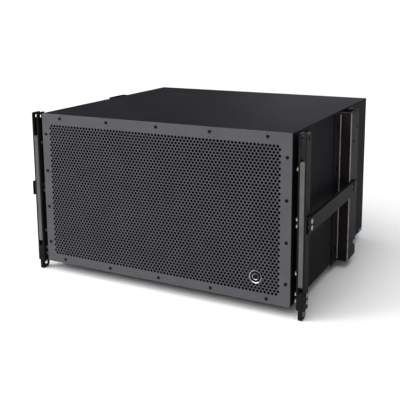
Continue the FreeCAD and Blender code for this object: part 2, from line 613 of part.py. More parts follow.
def build_struts(bolt_holes):
    span = (RIG_OUT, f"{RIG_OUT} + strut_thick")
    tube = cut("strut_tube",
               box("strut_outside", span, (FRONT, back("strut_length")), (up("strut_low"), up("strut_high"))),
               box("strut_inside", (f"{RIG_OUT} + strut_wall", f"{span[1]} - strut_wall"),
                   (f"{FRONT} - 1", back("strut_length + 1")),
                   (up("strut_low + strut_wall"), up("strut_high - strut_wall"))))
    keep_pair("side_strut", cut("side_strut_right", tube, bolt_holes, strut_screw_holes()))


def strut_screw_spots():
    return [(back("strut_screw_back"), up(height)) for height in ("strut_bolt_high", "strut_bolt_low")]


def front_screw_spots():
    y = back("(bracket_web_back + plate_thick + bracket_flange_end) / 2")
    return [(y, up(f"cabinet_height / 2 + {step} * 75")) for step in (-2, -1, 0, 1, 2)]


def rear_screw_spots():
    rows = [up(f"cabinet_height / 2 + {step} * 57") for step in (-3, -1, 1, 3)]
    columns = ("(flange_front + channel_front) / 2", "(channel_end + flange_end) / 2")
    return [(back(column), row) for column in columns for row in rows]


def side_holes(name, span, spots):
    return group(name, [rod(f"{name}_{index}", "X", "rigging_screw_radius + 0.1", span, spot)
                        for index, spot in enumerate(spots)])


def front_screw_holes():
    return side_holes("front_flange_holes", (f"{HALF} - 1", f"{HALF} + plate_thick + 1"), front_screw_spots())


def strut_screw_holes():
    return side_holes("strut_holes", (f"{RIG_OUT} - channel_sheet - 1", f"{RIG_OUT} + strut_thick + 1"),
                      strut_screw_spots())


def build_rigging_screws():
    """Pan-head screws of one size: bracket to cabinet, channel to cabinet and strut to channel."""
    screws = []
    rows = (("front", front_screw_spots(), f"{HALF} + plate_thick", "plate_thick"),
            ("rear", rear_screw_spots(), f"{HALF} + channel_sheet", "channel_sheet"),
            ("strut", strut_screw_spots(), f"{RIG_OUT} + strut_thick", "rigging_screw_length"))
    for name, spots, face, length in rows:
        for index, spot in enumerate(spots):
            screws.append(screw(f"{name}_screw_{index}", "X", "rigging_screw_radius", "rigging_screw_head",
                                (face, f"{face} + rigging_head_thick"), (f"{face} - ({length})", face), spot))
    right = group("rigging_screws_right", screws)
    keep("rigging_screws", group("rigging_screws", [right, mirrored(right, "rigging_screws_left")]))


def build_rear_rigging():
    """A folded channel between two welded flange strips, with a flat link bar that slides down out of it."""
    inside, outside = f"({HALF} + channel_sheet)", RIG_OUT
    profile = [
        (HALF, back("channel_front")), (outside, back("channel_front")), (outside, back("channel_end")),
        (HALF, back("channel_end")), (HALF, back("channel_end - channel_sheet")),
        (f"{outside} - channel_sheet", back("channel_end - channel_sheet")),
        (f"{outside} - channel_sheet", back("channel_front + channel_sheet")),
        (HALF, back("channel_front + channel_sheet"))]
    folded = padded_body("channel_fold", "XY_Plane", profile, "cabinet_height + stack_gap")
    place(folded, "0", "0", up("channel_low"))
    wall = (f"{outside} - channel_sheet - 1", f"{outside} + 1")
    holes = [
        rod("rear_pin_hole", "X", "pin_radius", wall, (back("rear_bar_back"), up("rear_hole_up"))),
        rod("splay_pin_hole", "X", "pin_radius", wall, (back("splay_hole_back"), up("splay_hole_up"))),
        rod("guide_bolt_hole", "X", "pin_radius", wall, (back("rear_bar_back"), up("guide_bolt_up"))),
        rod("clamp_bolt_hole", "X", "cross_bolt_radius + 0.05", wall, (back("clamp_bolt_back"), up("clamp_bolt_up")))]
    keep_pair("rear_channel", cut("rear_channel_right", folded, *holes, strut_screw_holes()))
    flange_holes = side_holes("rear_flange_holes", (f"{HALF} - 1", f"{inside} + 1"), rear_screw_spots())
    for name, reach in (("front", ("flange_front", "channel_front")), ("rear", ("channel_end", "flange_end"))):
        strip = box(f"{name}_strip", (HALF, inside), (back(reach[0]), back(reach[1])),
                    (up("channel_low"), up(CHANNEL_HIGH)))
        keep_pair(f"rear_flange_{name}", cut(f"rear_flange_{name}_right", strip, flange_holes))
    span = ("rear_bar_out", "rear_bar_out + rear_bar_thick")
    wide = ("rear_bar_out - 1", "rear_bar_out + rear_bar_thick + 1")
    bar = stadium("rear_bar_blank", span, "rear_bar_width / 2", "rear_bar_back", up("rear_bar_hole_up"),
                  up("rear_bar_high - rear_bar_width / 2"))
    slot = stadium("rear_bar_slot", wide, "guide_slot_radius", "rear_bar_back", up("guide_bolt_up"),
                   up("guide_bolt_up + rear_travel"))
    keep_pair("rear_link_bar", cut("rear_link_bar_right", bar, slot,
                                   rod("rear_bar_hole", "X", "pin_radius", wide,
                                       (back("rear_bar_back"), up("rear_bar_hole_up")))))
    block = box("guide_block_blank", (HALF, f"{outside} - channel_sheet"),
                (back("channel_front + channel_sheet"), back("channel_end - channel_sheet")),
                (up("guide_low"), up("guide_high")))
    way = box("guide_way", ("rear_bar_out - guide_clearance", "rear_bar_out + rear_bar_thick + guide_clearance"),
              (back("rear_bar_back - rear_bar_width / 2 - guide_clearance"),
               back("rear_bar_back + rear_bar_width / 2 + guide_clearance")),
              (up("guide_low - 1"), up("guide_high + 1")))
    guide = cut("guide_block_right", block, way)
    keep("rear_guide_blocks", group("rear_guide_blocks", [guide, mirrored(guide, "guide_block_left")]))
    at = (back("rear_bar_back"), up("guide_bolt_up"))
    bolt = fuse("guide_bolt_right",
                rod("guide_bolt_shank", "X", "guide_bolt_radius", (HALF, f"{outside} - channel_sheet"), at),
                rod("guide_bolt_inner", "X", "guide_collar_radius", (HALF, "rear_bar_out - guide_clearance"), at),
                rod("guide_bolt_outer", "X", "guide_collar_radius",
                    ("rear_bar_out + rear_bar_thick + guide_clearance", f"{outside} - channel_sheet"), at),
                rod("guide_bolt_end", "X", "pin_radius - 0.1", (f"{outside} - channel_sheet", outside), at))
    keep("rear_guide_bolts", group("rear_guide_bolts", [bolt, mirrored(bolt, "guide_bolt_left")]))
    clamp = screw("clamp_bolt_right", "X", "cross_bolt_radius", "cross_bolt_head",
                  (outside, f"{outside} + clamp_head_thick"), (HALF, outside),
                  (back("clamp_bolt_back"), up("clamp_bolt_up")))
    keep("rear_clamp_bolts", group("rear_clamp_bolts", [clamp, mirrored(clamp, "clamp_bolt_left")]))


def smooth_route(points):
    """Straight runs joined by tangent arcs, each arc as large as its two runs allow."""
    edges, start = [], points[0]
    for before, corner, after in zip(points, points[1:], points[2:]):
        arriving, leaving = corner - before, after - corner
        half_turn = arriving.getAngle(leaving) / 2
        reach = 0.45 * min(arriving.Length, leaving.Length)
        arriving.normalize()
        leaving.normalize()
        entry, leave = corner - arriving * reach, corner + leaving * reach
        inward = (leaving - arriving).normalize()
        radius = reach / math.tan(half_turn)
        print(f"lead bend radius {radius:.0f} mm")
        middle = corner + inward * (radius / math.cos(half_turn) - radius)
        edges += [Part.LineSegment(start, entry).toShape(), Part.Arc(entry, middle, leave).toShape()]
        start = leave
    edges.append(Part.LineSegment(start, points[-1]).toShape())
    return Part.Wire(edges)


def build_lead():
    """The two-core lead from the input connector to the woofer's terminals, clipped along its way."""
    ends = back("seat_back + seat_thick - 1"), f"({REAR} - dish_deep - connector_barrel)"
    high = number(up("woofer_up + terminal_high")) - 6
    low = number(up("cabinet_height / 2"))
    side = number("-connector_pitch / 2")
    start, finish = number(ends[0]), number(ends[1])
    reach = finish - start
    route = [Vector(0, start, high), Vector(0, start + 0.13 * reach, high),
             Vector(-4, start + 0.28 * reach, high - 9), Vector(-12, start + 0.45 * reach, high - 33),
             Vector(-22, start + 0.62 * reach, high - 66), Vector(-28, start + 0.78 * reach, low + 20),
             Vector(side, start + 0.90 * reach, low), Vector(side, finish, low)]
    path = smooth_route(route)
    radius = number("lead_radius")
    section = Part.Wire([Part.Circle(route[0], Vector(0, 1, 0), radius).toShape()])
    tube = path.makePipeShell([section], True, False)
    print(f"lead length {path.Length:.0f} mm, volume ratio {tube.Volume / (path.Length * math.pi * radius ** 2):.4f}")
    lead = document.addObject("Part::Feature", "speaker_lead")
    lead.Shape = tube
    keep("speaker_lead", lead)


holes = build_grille()
build_cabinet(holes)
build_connectors()
build_woofer()
strut_holes = build_front_rigging()
build_struts(strut_holes)
build_rear_rigging()
build_rigging_screws()
build_lead()
document.recompute()

faults = [item.Label for item in document.Objects if "Invalid" in item.State or "Error" in item.State]
faults += [name for name, item in nodes.items() if item.Shape.isNull() or not item.Shape.isValid()]
if faults:
    raise RuntimeError(f"these objects failed: {faults}")

os.makedirs("parts", exist_ok=True)
for name, item in nodes.items():
    item.Shape.exportStep(f"parts/{name}.step")
print(f"{len(nodes)} nodes written")
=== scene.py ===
import bpy
import math
from mathutils import Matrix, Vector


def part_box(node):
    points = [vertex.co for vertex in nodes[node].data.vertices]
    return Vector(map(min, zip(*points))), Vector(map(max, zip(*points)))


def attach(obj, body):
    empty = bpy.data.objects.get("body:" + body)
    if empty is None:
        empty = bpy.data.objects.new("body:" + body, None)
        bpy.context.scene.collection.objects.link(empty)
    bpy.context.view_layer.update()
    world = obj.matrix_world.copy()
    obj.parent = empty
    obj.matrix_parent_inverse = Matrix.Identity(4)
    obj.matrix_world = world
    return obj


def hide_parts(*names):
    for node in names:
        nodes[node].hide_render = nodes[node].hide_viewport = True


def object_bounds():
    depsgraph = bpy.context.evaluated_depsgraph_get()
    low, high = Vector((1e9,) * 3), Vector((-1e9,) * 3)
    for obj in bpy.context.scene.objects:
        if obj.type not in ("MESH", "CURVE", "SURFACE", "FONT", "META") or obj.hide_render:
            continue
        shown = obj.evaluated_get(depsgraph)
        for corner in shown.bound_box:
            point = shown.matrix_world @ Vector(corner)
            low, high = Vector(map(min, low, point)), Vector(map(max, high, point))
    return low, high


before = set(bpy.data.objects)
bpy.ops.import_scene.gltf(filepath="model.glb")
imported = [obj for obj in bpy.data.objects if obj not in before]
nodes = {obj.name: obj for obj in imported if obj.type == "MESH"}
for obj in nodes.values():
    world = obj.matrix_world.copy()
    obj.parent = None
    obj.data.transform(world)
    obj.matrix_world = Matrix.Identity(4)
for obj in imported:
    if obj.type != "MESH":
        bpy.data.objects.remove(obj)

cadBox = [list(corner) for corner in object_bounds()]
mm = 0.001  # the frame is in metres
hair = 0.01 * mm  # points closer than this are one place

cabinet = {  # the cabinet's own faces, read from its panels
    "half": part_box("top_panel")[1].x,
    "front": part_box("front_grille")[0].y,
    "top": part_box("top_panel")[1].z,
    "under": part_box("bottom_panel")[0].z,
}


def hexColour(text):
    # sRGB hex to linear, with full alpha
    parts = [int(text[i:i + 2], 16) / 255 for i in (0, 2, 4)]
    return [p / 12.92 if p <= 0.04045 else ((p + 0.055) / 1.055) ** 2.4 for p in parts] + [1.0]


def addNode(tree, kind, inputs=None, links=None, **settings):
    node = tree.nodes.new(kind)
    for name, value in settings.items():
        setattr(node, name, value)
    for socket, value in (inputs or {}).items():
        node.inputs[socket].default_value = value
    for socket, source in (links or {}).items():
        tree.links.new(source, node.inputs[socket])
    return node


def deselectAll():
    if bpy.context.object and bpy.context.object.mode != "OBJECT":
        bpy.ops.object.mode_set(mode="OBJECT")
    bpy.ops.object.select_all(action="DESELECT")


def pick(piece):
    deselectAll()
    piece.select_set(True)
    bpy.context.view_layer.objects.active = piece


def editMode(piece, select="NONE", mode="VERT"):
    pick(piece)
    bpy.ops.object.mode_set(mode="EDIT")
    bpy.ops.mesh.select_mode(type=mode)
    bpy.ops.mesh.select_all(action="SELECT" if select == "ALL" else "DESELECT")


def chooseIn(piece, kind, test):
    # selects edges by their ends, or faces by centre and normal, while the piece is in edit mode
    bpy.ops.object.mode_set(mode="OBJECT")
    mesh = piece.data
    for group in (mesh.vertices, mesh.edges, mesh.polygons):
        for item in group:
            item.select = False
    if kind == "EDGE":
        for edge in mesh.edges:
            edge.select = test(*(mesh.vertices[i].co for i in edge.vertices))
    else:
        for face in mesh.polygons:
            face.select = test(face.center, face.normal)
    bpy.ops.object.mode_set(mode="EDIT")
    bpy.ops.mesh.select_mode(type=kind)


def applyPlace(piece):
    pick(piece)
    bpy.ops.object.transform_apply(location=True, rotation=True, scale=True)


def addModifier(piece, kind, **settings):
    # adds one modifier and applies it at once
    pick(piece)
    modifier = piece.modifiers.new(kind.title(), kind)
    for name, value in settings.items():
        setattr(modifier, name, value)
    bpy.ops.object.modifier_apply(modifier=modifier.name)


def smoothByAngle(piece, degrees=35):
    pick(piece)
    bpy.ops.object.shade_smooth_by_angle(angle=math.radians(degrees))


def joinPieces(parts, name):
    deselectAll()
    for part in parts:
        part.select_set(True)
    bpy.context.view_layer.objects.active = parts[0]
    if len(parts) > 1:
        bpy.ops.object.join()
    parts[0].name = name
    parts[0].data.name = name
    return parts[0]


def copyOf(source, name):
    twin = bpy.data.objects.new(name, source.data.copy())
    bpy.context.scene.collection.objects.link(twin)
    return twin


def copyTo(piece, places, name):
    # copies one piece to each place given as a matrix, and joins the copies
    copies = []
    for place in places:
        twin = copyOf(piece, name)
        twin.matrix_world = place
        copies.append(twin)
    bpy.context.view_layer.update()
    bpy.data.objects.remove(piece)
    joined = joinPieces(copies, name)
    applyPlace(joined)
    editMode(joined, "ALL")
    bpy.ops.mesh.normals_make_consistent(inside=False)
    bpy.ops.object.mode_set(mode="OBJECT")
    return joined


def finishPiece(piece, body, finish, slotName, *replaced):
    applyPlace(piece)
    piece.data.materials.clear()
    piece.data.materials.append(finishes[finish])
    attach(piece, body)
    if replaced:
        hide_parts(*replaced)


def softened(name, node, width, segments=2, fold=None):
    # a copy of a CAD node with its edges eased as on the real thing, and its folded corners, if any,
    # rounded more
    piece = copyOf(nodes[node], name)
    editMode(piece, "ALL")
    bpy.ops.mesh.remove_doubles(threshold=hair)
    bpy.ops.mesh.dissolve_limited(angle_limit=math.radians(0.8))  # joins the CAD's flat triangles
    if fold:
        chooseIn(piece, "EDGE", fold["at"])
        bpy.ops.mesh.bevel(offset=fold["round"], segments=5)
    bpy.ops.object.mode_set(mode="OBJECT")
    addModifier(piece, "BEVEL", width=width, segments=segments, limit_method="ANGLE",
                angle_limit=math.radians(32), harden_normals=False)
    smoothByAngle(piece)
    addModifier(piece, "WEIGHTED_NORMAL", keep_sharp=True, weight=80)
    return piece


def islandsOf(node):
    # lowest and highest corner of each separate solid in a CAD group node
    editMode(copyOf(nodes[node], "probe"), "ALL")
    bpy.ops.mesh.remove_doubles(threshold=hair)
    bpy.ops.mesh.separate(type="LOOSE")
    bpy.ops.object.mode_set(mode="OBJECT")
    found = []
    for solid in list(bpy.context.selected_objects):
        corners = [vertex.co for vertex in solid.data.vertices]
        low = Vector(min(c[i] for c in corners) for i in range(3))
        high = Vector(max(c[i] for c in corners) for i in range(3))
        found.append((low, high))
        bpy.data.objects.remove(solid)
    return sorted(found, key=lambda span: tuple(round(v, 5) for v in span[0]))


def placeAlong(point, direction):
    # a place at a point, with its own Z axis turned to a direction
    return Matrix.Translation(point) @ Vector(direction).to_track_quat("Z", "Y").to_matrix().to_4x4()


def makeFastener(name, size):
    # a flat head on its shank, standing on Z = 0 with the head above, and a six-sided drive in the head
    high, length = size["high"], size["length"]
    bpy.ops.mesh.primitive_cylinder_add(vertices=size["sides"], radius=size["head"], depth=high,
                                        location=(0, 0, high / 2))
    head = bpy.context.object
    if "drive" in size:
        # this far up, the cutter leaves a socket a little under half the head deep
        bpy.ops.mesh.primitive_cylinder_add(vertices=6, radius=size["drive"], depth=high,
                                            location=(0, 0, high * 1.05))
        socket = bpy.context.object
        addModifier(head, "BOOLEAN", operation="DIFFERENCE", object=socket, solver="EXACT")
        bpy.data.objects.remove(socket)
    bpy.ops.mesh.primitive_cylinder_add(vertices=16, radius=size["shank"], depth=length,
                                        location=(0, 0, -length / 2))
    shank = bpy.context.object
    applyPlace(shank)
    applyPlace(head)
    whole = joinPieces([head, shank], name)
    smoothByAngle(whole, 40)
    return whole


def copyEachLength(name, size, placesByLength):
    # models a fastener once for each length, and copies it to that length's places
    return [copyTo(makeFastener(name, dict(size, length=length)), places, name)
            for length, places in placesByLength.items()]


def fitFasteners(name, node, size, finish, slotName, facing=None):
    # one fastener in each solid of a CAD group node, its head outward: to the side, or the way it faces
    spots = {}
    for low, high in islandsOf(node):
        middle = (low + high) / 2
        out = Vector(facing or (math.copysign(1, middle.x), 0, 0))
        seat = abs((high - middle).dot(out)) - size["high"]
        length = round(2 * seat + size["high"], 6)
        spots.setdefault(length, []).append(placeAlong(middle + out * seat, out))
    fasteners = joinPieces(copyEachLength(name, size, spots), name)
    smoothByAngle(fasteners, 40)
    finishPiece(fasteners, "cabinet", finish, slotName, node)


finishes = {}

# Each finish: its shade from dark to light over driftMm, a grain of grainMm that raises the surface by
# reliefMm, and values set straight on the shader. A grain finer than about 0.6 mm is too fine to show in
# the render, so it is drawn coarser, and its comment gives the real size.
looks = {
    # sprayed two-part polyurea over plywood: a tough, dull black skin of small rounded beads
    "sprayedPolyurea": {"dark": "1b1a1e", "light": "212025", "driftMm": 130, "grainMm": 2.0,
                        "reliefMm": 0.4, "bump": 0.35, "rough": 0.62, "vary": 0.08,
                        "shader": {"Specular IOR Level": 0.015}},
    # polyester powder baked on the steel sheet: warm-black satin with a fine orange peel
    "grillePowderCoat": {"dark": "403f44", "light": "474549", "driftMm": 70, "grainMm": 1.1,
                         "reliefMm": 0.2, "bump": 0.18, "rough": 0.44, "vary": 0.05,
                         "shader": {"Specular IOR Level": 0.4}},
    # the same powder, blacker and thicker, on the folded rigging: edges catch a thin light
    "riggingPowderCoat": {"dark": "171516", "light": "211e1e", "driftMm": 70, "grainMm": 1.0,
                          "reliefMm": 0.2, "bump": 0.15, "rough": 0.42, "vary": 0.04,
                          "shader": {"Specular IOR Level": 0.015}},
    # pale coat on folds, welds and plate corners: a painted highlight, drawn as a thin light line
    "paintedHighlightCoat": {"dark": "62605d", "light": "8b8884", "driftMm": 15, "grainMm": 1.5, "reliefMm": 0.1,
                   "bump": 0.15, "rough": 0.35, "vary": 0.08, "shader": {"Metallic": 0.2}},
    # thin grey powder on the machined bars: lighter than the plates each side, still satin
    "barPowderCoat": {"dark": "454344", "light": "545253", "driftMm": 60, "grainMm": 1.0,
                      "reliefMm": 0.2, "bump": 0.15, "rough": 0.4, "vary": 0.06,
                      "shader": {"Specular IOR Level": 0.4}},
    # powder on the pressed connector dish, a little greyer than the rigging
    "dishPowderCoat": {"dark": "17171a", "light": "1f1f22", "driftMm": 60, "grainMm": 1.0,
                       "reliefMm": 0.2, "bump": 0.22, "rough": 0.45, "vary": 0.06,
                       "shader": {"Specular IOR Level": 0.4}},
    # paint over cast aluminium: the rougher sand-cast skin shows through
    "castPaint": {"dark": "202022", "light": "2b2b2e", "driftMm": 60, "grainMm": 1.6, "reliefMm": 0.2,
                  "bump": 0.4, "rough": 0.5, "vary": 0.06, "shader": {"Specular IOR Level": 0.4}},
    # zinc flake on the sliding bars: dull grey with long scratches from the guides, in truth 0.1 mm wide
    "zincFlakeSteel": {"dark": "5a5854", "light": "706e69", "driftMm": 11, "grainMm": 1.2,
                       "reliefMm": 0.08, "bump": 0.25, "rough": 0.5, "vary": 0.1,
                       "stretch": (1, 1, 0.12), "shader": {"Metallic": 1.0}},
    # bright zinc on nuts and bolt heads: small white glints, and turning marks in truth 0.1 mm apart
    "brightZinc": {"dark": "8f8f8b", "light": "b2b2ae", "driftMm": 11, "grainMm": 0.8, "reliefMm": 0.08,
                   "bump": 0.25, "rough": 0.3, "vary": 0.1, "stretch": (1, 1, 0.12),
                   "shader": {"Metallic": 1.0}},
    # oiled black oxide on screws: darker than the paint round them, with a faint metal edge, and a
    # grain that is in truth 0.05 mm
    "blackOxideSteel": {"dark": "151516", "light": "222224", "driftMm": 11, "grainMm": 0.7,
                        "reliefMm": 0.08, "bump": 0.25, "rough": 0.42, "vary": 0.1,
                        "shader": {"Metallic": 1.0}},
    # satin nickel on the badge's rings: the one pale spot on the front, its brushing in truth 0.1 mm fine
    "satinBadge": {"dark": "b4b4b9", "light": "cfcfd3", "driftMm": 11, "grainMm": 0.9, "reliefMm": 0.08,
                   "bump": 0.2, "rough": 0.3, "vary": 0.08, "shader": {"Metallic": 1.0}},
    # sintered ferrite, ground flat: dark dull ceramic, its grinding marks in truth 0.2 mm apart
    "ferriteCeramic": {"dark": "2a2a2b", "light": "3b3b3c", "driftMm": 25, "grainMm": 1.4,
                       "reliefMm": 0.1, "bump": 0.3, "rough": 0.62, "vary": 0.08,
                       "shader": {"Specular IOR Level": 0.4}},
    # glass-filled nylon with a spark-eroded grain, in truth 0.1 mm: a dry, even black
    "glassFilledNylon": {"dark": "17171a", "light": "222225", "driftMm": 17, "grainMm": 0.8,
                         "reliefMm": 0.06, "bump": 0.2, "rough": 0.48, "vary": 0.06,
                         "shader": {"Specular IOR Level": 0.45}},
    # cast urethane of the heel pads: clear blue, slightly waxy, its moulded grain in truth 0.2 mm
    "blueUrethane": {"dark": "14587f", "light": "1c71a0", "driftMm": 17, "grainMm": 0.8,
                     "reliefMm": 0.06, "bump": 0.2, "rough": 0.45, "vary": 0.06,
                     "shader": {"Specular IOR Level": 0.45}},
    # open-cell polyurethane foam: almost black, so each hole of the grille reads as a dark dot
    "reticulatedFoam": {"dark": "060606", "light": "020202", "span": (0.02, 0.3), "grainMm": 1.6,
                        "reliefMm": 1.2, "bump": 0.9, "rough": 1.0, "vary": 0.0,
                        "kind": "ShaderNodeTexVoronoi", "shadeByGrain": True,
                        "shader": {"Specular IOR Level": 0.05}},
    # bonded polyester wadding: pale grey fibres lying every way
    "polyesterWadding": {"dark": "5c5a57", "light": "a29f9a", "grainMm": 2.4, "reliefMm": 2.0,
                         "bump": 0.8, "rough": 0.98, "vary": 0.0, "shadeByGrain": True,
                         "texture": {"Detail": 8, "Roughness": 0.8, "Distortion": 1.6},
                         "shader": {"Sheen Weight": 0.3, "Specular IOR Level": 0.2}},
    # pressed and coated paper pulp: dull charcoal with short fibres in it
    "coatedPaperPulp": {"dark": "121213", "light": "2b2b2c", "grainMm": 1.5, "reliefMm": 0.4,
                        "bump": 0.5, "rough": 0.8, "vary": 0.05, "shadeByGrain": True,
                        "texture": {"Detail": 6, "Roughness": 0.75, "Distortion": 2.2},
                        "shader": {"Specular IOR Level": 0.3}},
    # resin-treated cotton of the surround: a plain weave, its threads in truth 0.5 mm apart, under
    # a rubbery dressing
    "treatedCloth": {"dark": "151516", "light": "262628", "span": (0.2, 0.9), "grainMm": 1.2,
                     "reliefMm": 0.3, "bump": 0.4, "rough": 0.72, "vary": 0.04,
                     "kind": "ShaderNodeTexWave", "cross": "Z", "shadeByGrain": True,
                     "shader": {"Specular IOR Level": 0.35}},
    # phenolic-dipped cotton of the spider: the same weave, amber with resin
    "phenolicSpider": {"dark": "8a6a3c", "light": "b48c55", "span": (0.2, 0.9), "grainMm": 1.2,
                       "reliefMm": 0.3, "bump": 0.4, "rough": 0.72, "vary": 0.04,
                       "kind": "ShaderNodeTexWave", "cross": "Z", "shadeByGrain": True,
                       "shader": {"Specular IOR Level": 0.35}},
    # birch plywood stained black inside the box: long faint grain under a thin stain
    "stainedBirchPly": {"dark": "1c1815", "light": "3d352d", "grainMm": 3.0, "reliefMm": 0.3,
                        "bump": 0.3, "rough": 0.7, "vary": 0.06, "stretch": (0.08, 1, 1),
                        "shadeByGrain": True, "texture": {"Detail": 6, "Roughness": 0.65},
                        "shader": {"Specular IOR Level": 0.35}},
    # enamelled wire, in truth 0.3 mm thick, wound edge to edge on its former: warm glossy lines
    "enamelledCopper": {"dark": "6a3a20", "light": "b87045", "span": (0.1, 0.9), "grainMm": 0.6,
                        "reliefMm": 0.2, "bump": 0.6, "rough": 0.32, "vary": 0.05,
                        "kind": "ShaderNodeTexWave", "direction": "Y", "shadeByGrain": True,
                        "shader": {"Metallic": 1.0}},
    # extruded rubber with a talc-dulled surface: matt black with slow dull patches
    "rubberSheath": {"dark": "0e0e0e", "light": "232323", "driftMm": 20, "grainMm": 3.3, "reliefMm": 0.1,
                     "bump": 0.15, "rough": 0.62, "vary": 0.06, "shader": {"Specular IOR Level": 0.35}},
    # matt studio paper under the object, its fibres in truth 0.1 mm: an even pale ground
    "palePaper": {"dark": "f2f2f2", "light": "f6f6f6", "driftMm": 900, "grainMm": 2.0, "reliefMm": 0.05,
                  "bump": 0.1, "rough": 0.9, "vary": 0.02, "shader": {"Specular IOR Level": 0.1}},
}


def makeFinish(name, look):
    # grain raises the surface and changes its gloss; drift, which is much slower, changes its shade
    material = bpy.data.materials.new(name)
    material.use_nodes = True
    tree = material.node_tree
    shader = tree.nodes["Principled BSDF"]
    for socket, value in look["shader"].items():
        shader.inputs[socket].default_value = value
    spot = addNode(tree, "ShaderNodeTexCoord").outputs["Object"]
    laid = addNode(tree, "ShaderNodeMapping", {"Scale": look.get("stretch", (1, 1, 1))}, {"Vector": spot})
    kind = look.get("kind", "ShaderNodeTexNoise")
    wave = kind == "ShaderNodeTexWave"
    # one wave of the wave texture is a twentieth of its scale's unit
    texture = {"Scale": 1 / (look["grainMm"] * mm) / (20 if wave else 1), **look.get("texture", {})}
    turned = {"bands_direction": look.get("direction", "X")} if wave else {}
    grain = addNode(tree, kind, texture, {"Vector": laid.outputs["Vector"]}, **turned)
    height = grain.outputs["Distance" if "Distance" in grain.outputs else "Fac"]
    if "cross" in look:
        weft = addNode(tree, kind, texture, {"Vector": laid.outputs["Vector"]},
                       bands_direction=look["cross"])
        height = addNode(tree, "ShaderNodeMath", links={0: height, 1: weft.outputs["Fac"]},
                         operation="MAXIMUM").outputs[0]
    shade = height
    if not look.get("shadeByGrain"):
        shade = addNode(tree, "ShaderNodeTexNoise", {"Scale": 1 / (look["driftMm"] * mm), "Detail": 4},
                        {"Vector": spot}).outputs["Fac"]
    ramp = addNode(tree, "ShaderNodeValToRGB", links={"Fac": shade})
    first, last = ramp.color_ramp.elements
    first.position, last.position = look.get("span", (0.35, 0.7))
    first.color, last.color = hexColour(look["dark"]), hexColour(look["light"])
    # most of a noise lies between 0.3 and 0.7
    glossRange = {"From Min": 0.3, "From Max": 0.7, "To Min": look["rough"] - look["vary"],
                  "To Max": look["rough"] + look["vary"]}
    gloss = addNode(tree, "ShaderNodeMapRange", glossRange, {"Value": height})
    bump = addNode(tree, "ShaderNodeBump", {"Strength": look["bump"], "Distance": look["reliefMm"] * mm},
                   {"Height": height})
    tree.links.new(ramp.outputs["Color"], shader.inputs["Base Color"])
    tree.links.new(gloss.outputs["Result"], shader.inputs["Roughness"])
    tree.links.new(bump.outputs["Normal"], shader.inputs["Normal"])
    finishes[name] = material


for name, look in looks.items():
    makeFinish(name, look)
print("finishes made:", len(finishes))

keptNodes = {
    "stainedBirchPly": ["front_baffle", "port_board_left", "port_board_right", "window_brace"],
    "castPaint": ["woofer_basket"],
    "ferriteCeramic": ["woofer_magnet"],
    "riggingPowderCoat": ["woofer_top_plate", "woofer_yoke", "rear_guide_bolts"],
    "coatedPaperPulp": ["woofer_cone", "woofer_dust_cap"],
    "treatedCloth": ["woofer_surround", "woofer_gasket"],
    "phenolicSpider": ["woofer_spider"],
    "enamelledCopper": ["voice_coil"],
    "glassFilledNylon": ["woofer_terminals", "rear_guide_blocks"],
    "blackOxideSteel": ["woofer_screws"],
    "rubberSheath": ["speaker_lead"],
}
for finish, names in keptNodes.items():
    for name in names:
        nodes[name].data.materials.clear()
        nodes[name].data.materials.append(finishes[finish])
print("kept nodes dressed")


def makePanels():
    # sprayed panels with the arrises rounded over before painting
    ease = {"width": 1.6 * mm, "segments": 3}
    for name in ("top_panel", "bottom_panel", "side_panel_left", "side_panel_right", "rear_panel"):
        piece = softened("painted_" + name, name, ease["width"], ease["segments"])
        finishPiece(piece, "cabinet", "sprayedPolyurea", "painted_plywood", name)


makePanels()
print("panels made")


